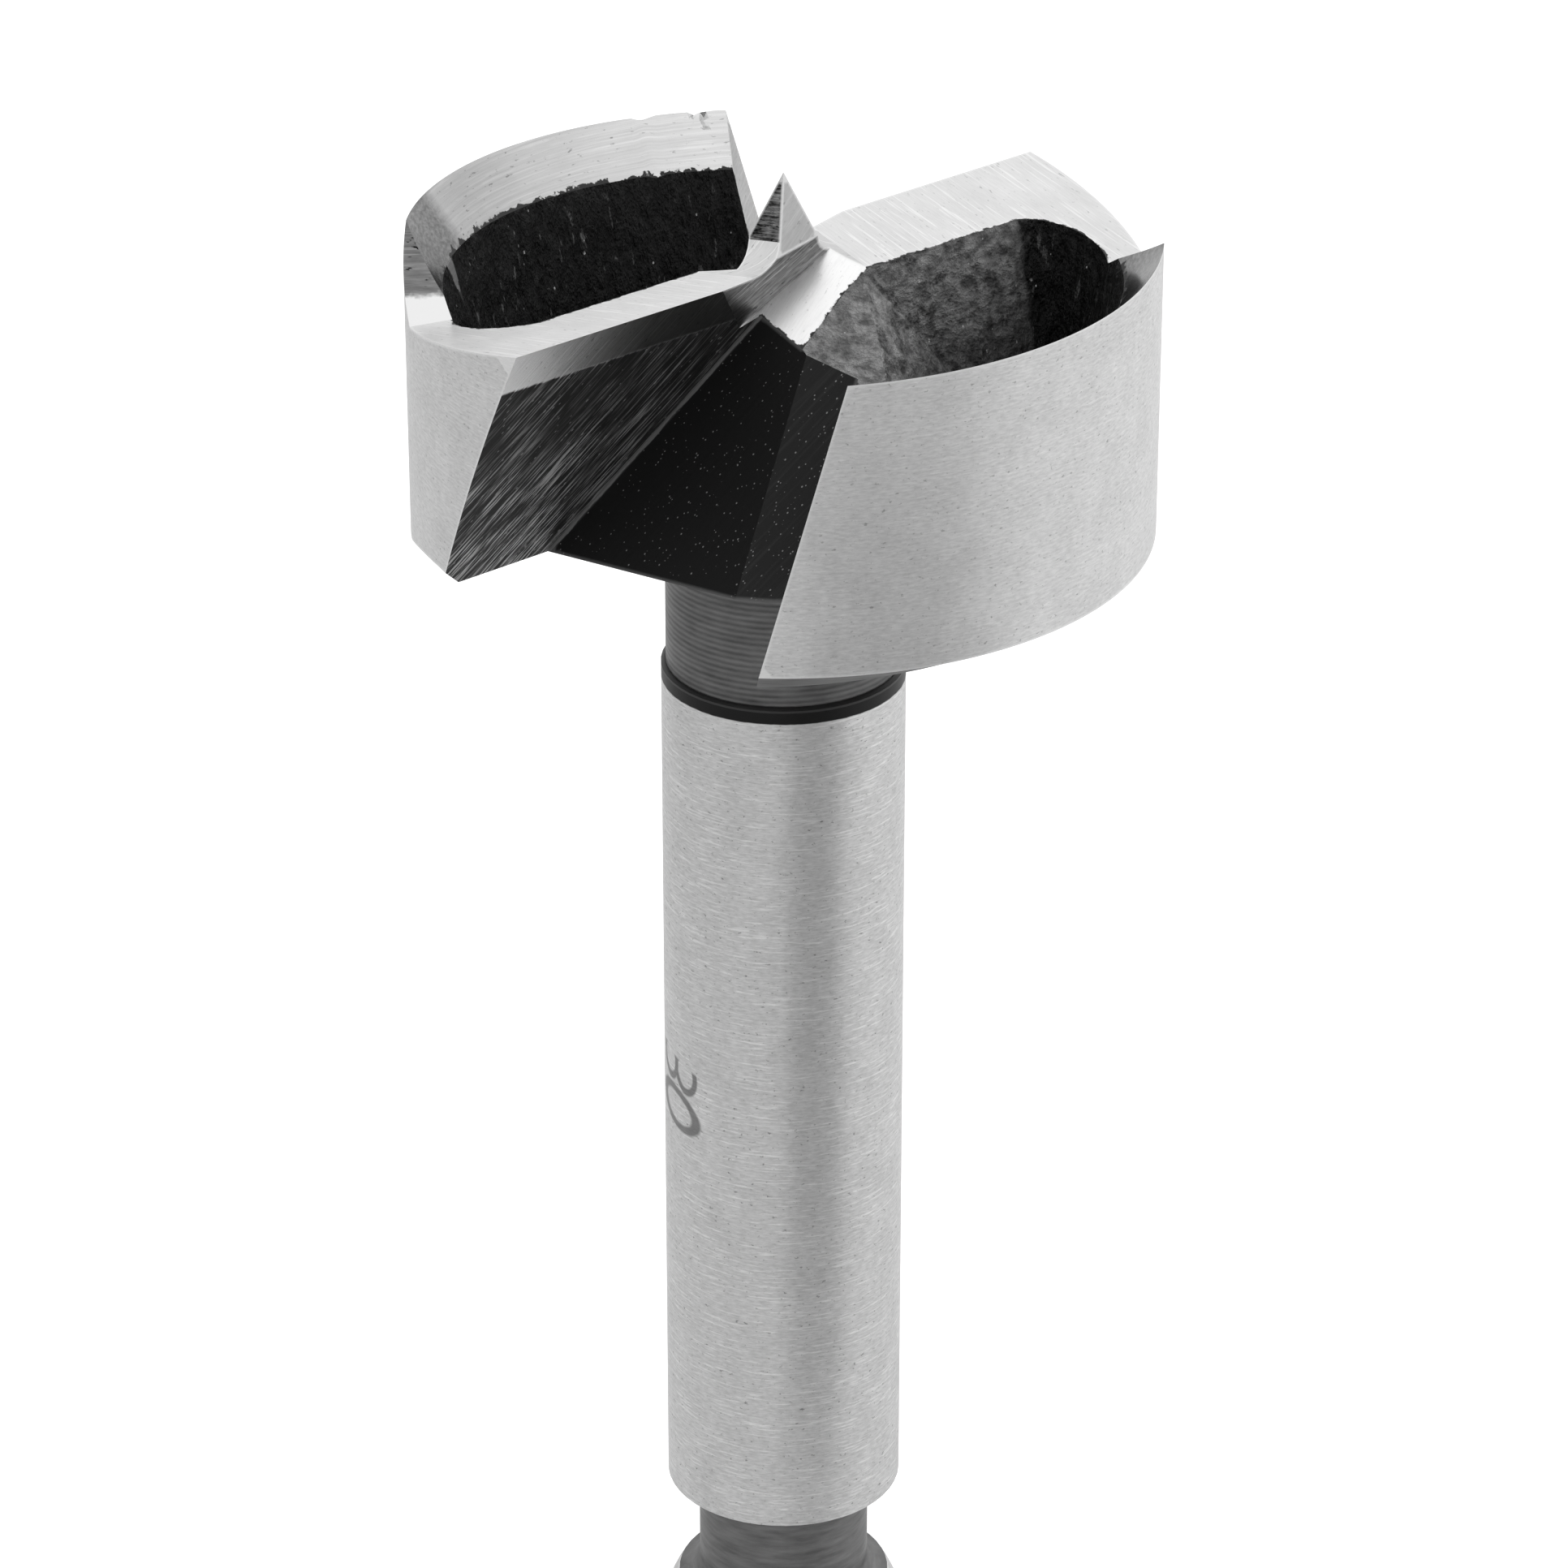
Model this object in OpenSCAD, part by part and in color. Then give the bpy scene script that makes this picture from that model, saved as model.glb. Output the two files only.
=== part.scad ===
// Forstner bit with two lips, a plain knife rim and a round shank.
// The tool stands on the end of its shank, with its axis along Z and its centre point up.
// It is one piece of steel: the shank is turned, the gullets are milled, and the
// cutting faces are ground. Everything on the head comes twice, half a turn apart.

/* [Lengths] */
// Length of the shank's tail below the relief groove
tail_l = 25; // [18:0.5:40]
// Length of the relief groove between the tail and the body
groove_l = 5.3; // [3:0.1:10]
// Length of the ground body of the shank
body_l = 38; // [20:0.5:60]
// Length of the rounded shoulder between the body and the neck
shoulder_l = 0.7; // [0.3:0.1:1.5]
// Length of the turned neck under the head
neck_l = 6.1; // [3:0.1:15]
// Height of the head from its underside to the tips of the rim spurs
head_h = 12.4; // [10:0.1:16]
// Height of the centre point above the tips of the spurs
point_h = 2.5; // [1.5:0.1:4]

/* [Diameters] */
// Diameter of the hole that the head cuts
head_d = 30; // [26:0.5:36]
// Diameter of the ground body of the shank
body_d = 10; // [9:0.1:12]
// Diameter of the tail, where a chuck holds the tool
tail_d = 10; // [9:0.1:12]
// Depth of the neck below the body, on the radius
neck_step = 0.2; // [0.1:0.05:0.6]
// Depth of the relief groove below the tail, on the radius
groove_depth = 1.35; // [0.5:0.05:2]

/* [Cutting lips] */
// Turn of the lips about the axis, as the tool stands
lip_turn = 41; // [0:1:180]
// Height of the lips below the tips of the spurs
lip_drop = 0.8; // [0.5:0.05:1.4]
// Offset of each cutting edge ahead of the axis
lip_offset = 1.7; // [1:0.05:2.4]
// Hook of the face below each cutting edge
rake_angle = 25.3; // [10:0.5:30]
// Fall of the ground land behind each cutting edge
relief_angle = 12.2; // [6:0.1:15]
// Width of the ground land behind each cutting edge
land_w = 3.75; // [3:0.05:5]

/* [Centre point] */
// Steepness of the four flanks of the point
flank_angle = 67; // [60:0.5:72]
// Radius of the hollow where a flank runs out into the ground faces
flank_r = 1.7; // [0.8:0.1:2.4]
// Depth of the ground web face below the tip, square to that face
web_depth = 3.8; // [3.4:0.05:4.2]
// Slope of the ground web face across its own run
web_roll = 13; // [8:0.2:18]
// Rise of the ground web face along its run
web_rise = 26.2; // [20:0.2:30]
// Radius round the axis within which the web is ground
web_reach = 6; // [5:0.1:7]
// Turn from the lip of the wall where the web face meets the lip
notch_turn = 100.3; // [94:0.1:104]
// Lean of that wall under the lip
notch_lean = 18.2; // [10:0.1:24]
// Distance of that wall from the axis at the height of the lip
notch_off = 0.85; // [0.5:0.05:1]

/* [Gullets] */
// Turn of the gullet floor from its lip
floor_turn = 17.4; // [12:0.2:24]
// Lean of the gullet floor from upright
floor_lean = 30.6; // [25:0.2:34]
// Distance of the gullet floor from the axis at the underside
floor_off = 7.6; // [7:0.1:8.5]
// Turn of the second facet of the gullet floor from its lip
heel_turn = 40.5; // [36:0.1:46]
// Lean of the second facet of the gullet floor from upright
heel_lean = 28.2; // [22:0.2:32]
// Distance of the second facet from the axis at the underside
heel_off = 7.95; // [7.7:0.05:8.6]
// Turn of the trailing end of the next rim wall from the lip
end_turn = -50; // [-56:0.5:-44]
// Lean of the trailing end of the rim wall from upright
end_lean = 15.3; // [8:0.1:18]
// Distance that the trailing end lies behind the axis at the underside
end_back = 1.4; // [0.8:0.1:2]

/* [Rim] */
// Radial width of the bevel inside the knife edge
bevel_w = 1.6; // [1:0.05:2]
// Height of the bevel inside the knife edge
bevel_h = 2; // [1.2:0.1:2.6]
// Fall of the knife edge from the spur back to the trailing end
rim_fall = 1.2; // [0:0.1:2]
// Height of the valley between lip and rim spur below the tip of the spur
valley_drop = 2.9; // [2:0.1:3.4]
// Steepness of the spur that rises from the valley to the knife edge
spur_slope = 31; // [24:0.5:40]
// Turn of the spur's face from its lip
spur_turn = 49; // [40:1:56]
// Distance of the valley ahead of the axis, across the spur's face
valley_off = 3.6; // [2.8:0.1:4.4]
// Turn of the valley line from its lip
valley_turn = -27.5; // [-31:0.5:-24]
// Turn of the spur's tip from its lip
spur_tip_turn = -46; // [-50:1:-42]

/* [Pockets] */
// Height of the pocket floor above the underside
pocket_floor = 4.1; // [3.4:0.1:6]
// Draft of the outer and leading walls of the pocket
pocket_draft = 15; // [8:0.5:18]
// Radius of the pocket's corner between land and rim
pocket_corner = 2.6; // [2.2:0.1:3]
// Turn of the hub's side wall from the lip
hub_side_turn = -56; // [-62:1:-48]
// Draft of the hub's side wall
hub_side_draft = 33; // [24:0.5:38]
// Distance of the hub's side wall from the axis
hub_side = 2.95; // [2.7:0.05:3.4]
// Turn of the hub's sloping back from the lip
hub_back_turn = -120; // [-126:1:-112]
// Lean of the hub's sloping back from upright
hub_back_lean = 55.7; // [50:0.1:60]
// Distance of the hub's sloping back from the axis
hub_back = 0.4; // [0.2:0.05:0.8]

/* [Edges] */
// Chamfer at the end of the shank
end_chamfer = 0.8; // [0.3:0.1:1.5]
// Radius of the fillets in the relief groove
groove_r = 0.9; // [0.4:0.1:1.2]
// Width of the foot under the trailing end of each rim wall
foot_w = 3; // [2:0.1:4]
// Height of the foot under the trailing end of each rim wall
foot_h = 0.8; // [0.3:0.05:1.2]
// Length over which the foot runs out to nothing
foot_l = 6; // [3:0.1:10]
// Size of the chamfer at the lower outer corner of each hooked face
corner_chamfer = 0.8; // [0.2:0.1:1.5]

/* [Hidden] */
$fn = 96;
eps = 0.01;
far = 60;
head_r = head_d / 2;
body_r = body_d / 2;
tail_r = tail_d / 2;
neck_r = body_r - neck_step;
groove_wall_r = tail_r - groove_depth;
groove_z = tail_l;
body_z = groove_z + groove_l;
shoulder_z = body_z + body_l;
neck_z = shoulder_z + shoulder_l;
head_z = neck_z + neck_l;
rim_z = head_z + head_h;
tip_z = rim_z + point_h;
lip_z = rim_z - lip_drop;
spur_x = head_r * cos(spur_tip_turn);
edge_z = rim_z - spur_x * tan(rim_fall);
bevel_z = edge_z - bevel_h;
bevel_r = head_r - bevel_w;
valley_z = rim_z - valley_drop;
floor_z = head_z + pocket_floor;
land_back = land_w - lip_offset;
land_back_z = lip_z - land_w * tan(relief_angle);
land_depth = (tip_z - lip_z + lip_offset * tan(relief_angle)) * cos(relief_angle);
stock_r = 3;
spur_root_r = bevel_r - 2;
corner_over = 0.04;
bevel_run = 0.5;
arc_steps = 6;

// Points of a round arc from angle a0 to angle a1
function arc(cx, cy, r, a0, a1) =
    [for (i = [0:arc_steps]) let (a = a0 + (a1 - a0) * i / arc_steps) [cx + r * cos(a), cy + r * sin(a)]];

// Everything beyond a plane whose normal turns by az and leans up by lean.
// The plane cuts the radius at az at the distance off and the height level.
module beyond(az, lean, off, level) {
    rotate([0, 0, az])
        translate([off, 0, level])
            rotate([0, -lean, 0])
                translate([0, -far, -far])
                    cube([2 * far, 2 * far, 2 * far]);
}

// Everything inside the same plane
module within(az, lean, off, level) {
    beyond(az + 180, -lean, -off, level);
}

// Space that one pass of a profiled wheel grinds away beside the point.
// The pass runs along az and rises by rise. Its outline falls from the tip down a
// steep flank, turns through a hollow and runs out flat at the given depth.
module wheel_pass(az, rise, depth, roll) {
    turn = flank_angle - roll;
    hollow = flank_r * tan(turn / 2);
    root_x = depth / (sin(flank_angle) - cos(flank_angle) * tan(roll)) * cos(flank_angle) / cos(roll);
    root_y = root_x * tan(flank_angle);
    mid_x = root_x + hollow * cos(roll) + flank_r * sin(roll);
    mid_y = -root_y - hollow * sin(roll) + flank_r * cos(roll);
    outline = concat(
        [[0, 0]],
        arc(mid_x, mid_y, flank_r, 270 - flank_angle, 270 - roll),
        [[far, -root_y - (far - root_x) * tan(roll)], [far, far], [0, far]]
    );
    translate([0, 0, tip_z])
        rotate([0, 0, az])
            rotate([0, -rise, 0])
                rotate([90, 0, 90])
                    linear_extrude(height = 2 * far, center = true)
                        mirror([1, 0])
                            polygon(outline);
}

// Shank from its end to the underside of the head, turned in one go
module shank() {
    rotate_extrude()
        polygon(concat(
            [[0, 0], [tail_r - end_chamfer, 0], [tail_r, end_chamfer]],
            [[tail_r, groove_z - groove_r]],
            arc(groove_wall_r + groove_r, groove_z + groove_r, groove_r, 270, 180),
            arc(groove_wall_r + groove_r, body_z - groove_r, groove_r, 180, 90),
            [[body_r, body_z], [body_r, shoulder_z]],
            arc(neck_r, neck_z - neck_step, neck_step, 0, 90),
            [[neck_r, neck_z], [neck_r, head_z + eps], [0, head_z + eps]]
        ));
}

// Turned blank of the head, with stock left for the point
module head_blank() {
    rotate_extrude()
        polygon([
            [0, head_z], [head_r, head_z], [head_r, rim_z],
            [stock_r, rim_z], [stock_r, tip_z], [0, tip_z]
        ]);
}

// Low foot under the trailing end of a rim wall, which runs out along the wall
module foot() {
    intersection() {
        rotate_extrude()
            polygon([
                [head_r - foot_w, head_z + eps], [head_r - foot_w, head_z],
                [head_r - foot_w + foot_h, head_z - foot_h], [head_r - foot_h, head_z - foot_h],
                [head_r, head_z], [head_r, head_z + eps]
            ]);
        beyond(-90, 0, 0, head_z);
        beyond(180, 90 - atan(foot_h / foot_l), spur_x, head_z - foot_h);
    }
}

// Ground land behind the cutting edge, with the flank of the point beside it.
// The rim keeps its spur, which rises from the valley at the land's outer end.
module land_grind() {
    difference() {
        wheel_pass(90, relief_angle, land_depth, 0);
        difference() {
            within(spur_turn, 90 - spur_slope, valley_off, valley_z);
            translate([0, 0, head_z - far])
                cylinder(r = spur_root_r, h = 2 * far);
        }
    }
}

// Face that thins the web ahead of the lip, out to where it was ground
module web_grind() {
    intersection() {
        union() {
            wheel_pass(floor_turn + 180, web_rise, web_depth, web_roll);
            intersection() {
                beyond(notch_turn, -notch_lean, notch_off, lip_z);
                web_plane();
            }
        }
        translate([0, 0, head_z])
            cylinder(r = web_reach, h = far);
    }
}

// Space above the flat part of the web face
module web_plane() {
    translate([0, 0, tip_z])
        rotate([0, 0, floor_turn + 180])
            rotate([0, -web_rise, 0])
                rotate([web_roll, 0, 0])
                    translate([-far, -far, -web_depth])
                        cube([2 * far, 2 * far, 2 * far]);
}

// Chip gullet ahead of the lip: the hooked face, a floor of two facets,
// and the trailing end of the next rim wall
module gullet() {
    difference() {
        intersection() {
            beyond(90, -rake_angle, lip_offset, lip_z);
            beyond(end_turn, end_lean, -end_back, head_z);
        }
        intersection() {
            within(floor_turn, floor_lean, floor_off, head_z);
            within(heel_turn, heel_lean, heel_off, head_z);
        }
    }
}

// Small relief at the lower outer corner of the hooked face
module corner_relief() {
    corner_y = lip_offset - (lip_z - head_z) * tan(rake_angle);
    beyond(asin(corner_y / head_r), -45, head_r - corner_chamfer, head_z);
}

// Draughted outline of the pocket between land, hub and rim, open behind
module pocket() {
    shrink = tan(pocket_draft);
    corner_y = -land_back - pocket_corner;
    corner_x = sqrt(pow(bevel_r - pocket_corner + corner_over, 2) - pow(corner_y, 2));
    corner_turn = atan2(corner_y, corner_x);
    rise = tip_z - floor_z;
    drop = bevel_z - floor_z;
    intersection() {
        union() {
            difference() {
                translate([0, 0, floor_z])
                    cylinder(r1 = bevel_r - drop * shrink, r2 = bevel_r + (rise - drop) * shrink, h = rise);
                intersection() {
                    beyond(0, 0, corner_x, floor_z);
                    beyond(corner_turn + 90, 0, 0, floor_z);
                }
            }
            translate([corner_x, corner_y, floor_z])
                cylinder(r1 = pocket_corner - drop * shrink, r2 = pocket_corner + (rise - drop) * shrink, h = rise);
        }
        beyond(-90, pocket_draft, land_back, land_back_z);
        union() {
            beyond(hub_side_turn, hub_side_draft, hub_side, land_back_z);
            beyond(hub_back_turn, hub_back_lean, hub_back, land_back_z);
        }
    }
}

// Tilts a shape about the Y direction at a given height on the axis
module rotate_about(level, tilt) {
    translate([0, 0, level])
        rotate([0, tilt, 0])
            translate([0, 0, -level])
                children();
}

// Bevel that makes the rim a knife edge, from the spur to the trailing end
module rim_bevel() {
    slope = bevel_w / bevel_h;
    foot_z = bevel_z - bevel_run;
    rise = tip_z - foot_z;
    foot_r = bevel_r - bevel_run * slope;
    intersection() {
        difference() {
            rotate_about(edge_z, -rim_fall)
                translate([0, 0, foot_z])
                    cylinder(r1 = foot_r, r2 = foot_r + rise * slope, h = rise);
            translate([0, 0, head_z])
                cylinder(r = spur_root_r, h = far);
        }
        beyond(valley_turn - 90, 0, 0, head_z);
        beyond(end_turn, -end_lean, end_back, head_z);
    }
}

// The whole tool
module forstner_bit() {
    color("silver")
        rotate([0, 0, lip_turn]) {
            shank();
            difference() {
                union() {
                    head_blank();
                    for (half = [0, 180]) rotate([0, 0, half]) foot();
                }
                for (half = [0, 180]) rotate([0, 0, half]) {
                    land_grind();
                    web_grind();
                    gullet();
                    corner_relief();
                    pocket();
                    rim_bevel();
                }
            }
        }
}

forstner_bit();
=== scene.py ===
"""Looks of a forstner bit: ground steel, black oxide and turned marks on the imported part.

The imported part's triangles are sorted into zones by where they lie and how they face,
split finely, and given one finish a zone. Lengths inside the zones are in millimetres.
"""

import heapq
import math

import bmesh
import bpy
import numpy as np
from mathutils import Matrix, Vector
from mathutils.kdtree import KDTree


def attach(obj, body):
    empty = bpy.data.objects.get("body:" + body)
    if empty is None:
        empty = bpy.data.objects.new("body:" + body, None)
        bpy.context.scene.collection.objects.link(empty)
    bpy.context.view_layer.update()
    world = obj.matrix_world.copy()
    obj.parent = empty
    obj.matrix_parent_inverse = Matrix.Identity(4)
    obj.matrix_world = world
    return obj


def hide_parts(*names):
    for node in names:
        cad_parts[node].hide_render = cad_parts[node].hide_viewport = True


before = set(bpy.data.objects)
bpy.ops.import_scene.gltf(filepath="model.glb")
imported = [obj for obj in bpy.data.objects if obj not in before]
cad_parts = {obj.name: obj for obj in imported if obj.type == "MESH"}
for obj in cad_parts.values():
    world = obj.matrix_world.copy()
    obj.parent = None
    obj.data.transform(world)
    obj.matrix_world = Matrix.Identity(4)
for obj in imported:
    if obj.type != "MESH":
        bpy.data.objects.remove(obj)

bl_info = {
    "name": "Forstner bit",
    "version": (1, 0, 0),
    "blender": (4, 5, 0),
    "location": "View3D > Sidebar > Bit",
    "description": "Dresses a packed forstner bit with ground and oxidised steel",
    "category": "Object",
}

NODE = "forstner_bit"
PIECE = "dressed_bit"
MM = 0.001
LIP_TURN = 41.0
HEAD_R = 15.0
BODY_R = 5.0
NECK_R = 4.8
GROOVE_R = 3.65
TAIL_Z = 25.0
BODY_Z = 30.3
SHOULDER_Z = 68.3
NECK_Z = 69.0
HEAD_Z = 75.1
FLOOR_Z = 79.2
BEVEL_R = 13.4
BEVEL_Z = 85.28
EDGE_Z = 87.28
BEVEL_SLOPE = 0.8
RIM_FALL = 1.2
SPUR_TURN = 3.0
MARK_U = -13.4
MARK_STROKE = 0.2
MARK_SLANT = 0.18
RING_STEP = 0.25
FLANK = 67.0
HOLLOW_R = 6.5
HOLLOW_Z = 83.5
SPUR_Z = 87.0
# Groove and nicks of the bevel: turn and half width in degrees, depth and lowest height in mm
MARKS = [(113.0, 2.2, 0.14, 84.5), (104.6, 0.9, 0.16, 86.95), (102.9, 0.7, 0.2, 86.6)]
# Loops of the size mark: shift along the round, height, half width and half height, open or closed
MARK_LOOPS = [
    (0.72, 51.3, (0.68, 0.82), True),
    (-0.62, 51.3, (0.68, 0.82), True),
    (0.05, 49.3, (1.4, 0.8), False),
]
SHORT_GRAIN = (1.9, 1.1, 1.0)
OXIDE_TONE = 0.012
OXIDE_ROUGHNESS = 0.6
LEDGE_TONE = 0.22
VALLEY_Z = 85.75
BAND_Z = 85.03
SAME_POINT = 0.0005
ON_FACE = 0.02
SHARP_TURN = 0.6
OUTER_TURN = 0.35
EYE = (0, -0.2337, 0.17885)
EYE_SHIFT = 0.00034
EYE_CLIP = 0.01
SENSOR = 36
AIM = (0, 0, 0.06)
KEY_AT = (0.2, 0.25, 0.42)
KEY_SIZE = 0.5
SIDE_AT = (0.4, -0.1, 0.3)
SIDE_SIZE = 0.3
SIDE_SHARE = 0.2
FLOOR_HALF = 3.0
FLOOR_GREY = 0.82
FLOOR_GLOW = 0.45
CARD_START = (0.004, -0.056)
CARD_END = (0.046, -0.034)
CARD_HIGH = 0.07
CARD_GREY = 0.45


def lean(turn, rise):
    """Unit vector that points along turn and rises by rise, both in degrees."""
    a = math.radians(turn)
    b = math.radians(rise)
    return Vector((math.cos(b) * math.cos(a), math.cos(b) * math.sin(a), math.sin(b)))


def wheel(turn, rise, roll):
    """Normals of the flat and the flank of a grinding pass, and its run."""
    spin = Matrix.Rotation(math.radians(turn), 3, "Z") @ Matrix.Rotation(-math.radians(rise), 3, "Y")
    steep = math.radians(FLANK)
    flat = spin @ Matrix.Rotation(math.radians(roll), 3, "X") @ Vector((0, 0, 1))
    flank = spin @ Vector((0, -math.sin(steep), math.cos(steep)))
    return flat, flank, spin @ Vector((1, 0, 0))


def facets():
    """Name, outward normal and grain of each ground or milled facet of one half."""
    land, land_flank, land_run = wheel(90, 12.2, 0)
    web, web_flank, web_run = wheel(197.4, 26.2, 13)
    hook = lean(90, -25.3)
    floor = lean(17.4, 30.6)
    heel = lean(40.5, 28.2)
    end = lean(-50, 15.3)
    notch = lean(100.3, -18.2)
    spur = lean(49, 59)
    root = hook.cross(floor).normalized()
    flat = Vector((1, 0, 0))
    return [
        ("land", land, land_run),
        ("flank", land_flank, land_run),
        ("web", web, web_run),
        ("point", web_flank, web_run),
        ("hook", hook, root),
        ("gullet", floor, root),
        ("heel", heel, root),
        ("end", end, Vector((0, 0, 1)).cross(end)),
        ("notch", notch, web_run),
        ("spur", spur, Vector((0, 0, 1)).cross(spur)),
        ("hub", lean(-90, 15), flat),
        ("hub", lean(-56, 33), flat),
        ("hub", lean(-120, 55.7), flat),
    ]


ZONES = [
    "wall", "land", "web", "point", "flank", "hollow", "bevel", "spur", "notch", "end",
    "hook", "gullet", "heel", "pocket", "hub", "under", "neck", "shoulder", "body", "groove", "tail",
]
DARK = {"gullet", "heel", "pocket", "hub"}
ROUGH = {"pocket", "hub"}


def local(point, half):
    """The point or direction as seen from one half's own lip."""
    return Matrix.Rotation(-math.radians(LIP_TURN + 180 * half), 3, "Z") @ point


def shank_zone(centre):
    """Zone of a face of the shank, from its height."""
    if centre.z > NECK_Z:
        return "neck"
    if centre.z > SHOULDER_Z:
        return "shoulder"
    if centre.z > BODY_Z:
        return "body"
    return "groove" if centre.z > TAIL_Z else "tail"


def head_zone(centre, normal, radii, kinds):
    """Zone of a face of the head and the half that it belongs to."""
    if normal.z < -0.9 or centre.z < HEAD_Z:
        return "under", 0
    if min(radii) > HEAD_R - ON_FACE and abs(normal.z) < 0.05:
        return "wall", 0
    best = 0.9995
    found = None
    for half in (0, 1):
        seen = local(normal, half)
        for name, axis, _ in kinds:
            match = seen.dot(axis)
            if match > best:
                best = match
                found = (name, half)
    if found:
        return found
    radial = (normal.x * centre.x + normal.y * centre.y) / max(centre.xy.length, 1e-6)
    from_axis = centre.xy.length
    near_edge = centre.z > BEVEL_Z - 2 and from_axis > BEVEL_R - 0.45
    if near_edge and radial < -0.6 and normal.z > 0.5:
        return "bevel", 0
    if from_axis < HOLLOW_R and centre.z > HOLLOW_Z and 0.3 < normal.z < 0.999:
        return "hollow", 0
    if abs(centre.z - FLOOR_Z) < ON_FACE and normal.z > 0.99:
        return "hub", 0
    return ("pocket" if from_axis < HEAD_R - 1 and centre.z < SPUR_Z else "spur"), 0


def refine(points, faces, steps):
    """Halves the longest edge again and again until each edge is within its zone's step."""
    sides = {}
    for index, (corners, zone, half) in enumerate(faces):
        for k in range(3):
            key = tuple(sorted((corners[k], corners[k - 2])))
            sides.setdefault(key, set()).add(index)
    queue = []

    def offer(key):
        length = (points[key[0]] - points[key[1]]).length
        step = min(steps[faces[i][1]] for i in sides[key])
        if length > step:
            heapq.heappush(queue, (-length / step, key))

    for key in sides:
        offer(key)
    while queue:
        key = heapq.heappop(queue)[1]
        touching = sides.pop(key, None)
        if not touching:
            continue
        middle = len(points)
        points.append((points[key[0]] + points[key[1]]) / 2)
        fresh = [tuple(sorted((key[0], middle))), tuple(sorted((key[1], middle)))]
        for k in fresh:
            sides[k] = set()
        for index in touching:
            corners, zone, half = faces[index]
            far = next(c for c in corners if c not in key)
            turn = corners.index(far)
            start, end = corners[turn - 2], corners[turn - 1]
            extra = len(faces)
            faces[index] = ((far, start, middle), zone, half)
            faces.append(((far, middle, end), zone, half))
            other = tuple(sorted((end, far)))
            sides[other].discard(index)
            sides[other].add(extra)
            spoke = tuple(sorted((middle, far)))
            sides[spoke] = {index, extra}
            sides[tuple(sorted((start, middle)))].add(index)
            sides[tuple(sorted((end, middle)))].add(extra)
            offer(spoke)
        for k in fresh:
            offer(k)


def true_round(bm, names):
    """Puts the new points of turned and ground round faces back on their true radius."""
    tilt = Matrix.Rotation(-math.radians(RIM_FALL), 3, "Y")
    edge = Vector((0, 0, EDGE_Z))
    for v in bm.verts:
        zones = {names[f.material_index] for f in v.link_faces}
        r = v.co.xy.length
        target = r
        if "wall" in zones and r > HEAD_R - 0.3:
            target = HEAD_R
        elif zones <= {"body", "tail", "shoulder", "groove", "neck"}:
            for known in (BODY_R, NECK_R, GROOVE_R):
                if abs(r - known) < 0.04:
                    target = known
        if target != r and r > 0:
            v.co.x *= target / r
            v.co.y *= target / r
        elif zones == {"bevel"}:
            half = 0 if local(v.co, 0).y < 0 else 1
            turn = Matrix.Rotation(math.radians(LIP_TURN + 180 * half), 3, "Z")
            p = turn.inverted() @ v.co
            p = tilt.inverted() @ (p - edge) + edge
            want = BEVEL_R + (p.z - BEVEL_Z) * BEVEL_SLOPE
            length = p.xy.length
            p.x *= want / length
            p.y *= want / length
            v.co = turn @ (tilt @ (p - edge) + edge)


def wear_marks(bm, names):
    """Presses a shallow groove and two nicks into the bevel of one half of the rim."""
    for v in bm.verts:
        zones = {names[f.material_index] for f in v.link_faces}
        if "bevel" not in zones or v.co.z < BEVEL_Z - 0.5:
            continue
        turn = math.degrees(math.atan2(v.co.y, v.co.x))
        for middle, width, depth, low in MARKS:
            away = (turn - middle) / width
            if abs(away) < 1 and v.co.z > low:
                push = depth * (1 - away * away) ** 2
                v.co.x *= 1 + push * 0.6 / HEAD_R
                v.co.y *= 1 + push * 0.6 / HEAD_R
                v.co.z -= push
        if v.co.xy.length > HEAD_R:
            short = HEAD_R / v.co.xy.length
            v.co.x *= short
            v.co.y *= short


def tree_of(edges, step):
    """Search tree over points along edges, so that distances to them can be read."""
    points = []
    for a, b in edges:
        count = max(2, int((b - a).length / step) + 1)
        points.extend(a.lerp(b, i / (count - 1)) for i in range(count))
    tree = KDTree(max(1, len(points)))
    for i, p in enumerate(points):
        tree.insert(p, i)
    tree.balance()
    return tree


def nearest(tree, bm):
    """Distance in mm from each vertex to the nearest point of a search tree."""
    return [tree.find(v.co)[2] for v in bm.verts]


def unrolled(face, name, half, kinds):
    """Flat coordinates in mm of a face's corners: u runs along the grain."""
    if name in {"wall", "bevel", "under", "neck", "shoulder", "body", "groove", "tail"}:
        centre = face.calc_center_median()
        middle = math.atan2(centre.y, centre.x)
        radius = {"wall": HEAD_R, "bevel": HEAD_R, "under": HEAD_R}.get(name, BODY_R)
        out = []
        for loop in face.loops:
            p = loop.vert.co
            angle = math.atan2(p.y, p.x)
            angle -= 2 * math.pi * round((angle - middle) / (2 * math.pi))
            out.append((radius * angle, p.z * 1.28 if name == "bevel" else p.z))
        return out
    for kind, axis, grain in kinds:
        if kind == name and local(face.normal, half).dot(axis) > 0.99:
            across = axis.cross(grain)
            seen = [local(loop.vert.co, half) for loop in face.loops]
            return [(p.dot(grain), p.dot(across)) for p in seen]
    return [(loop.vert.co.x, loop.vert.co.y) for loop in face.loops]


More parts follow.
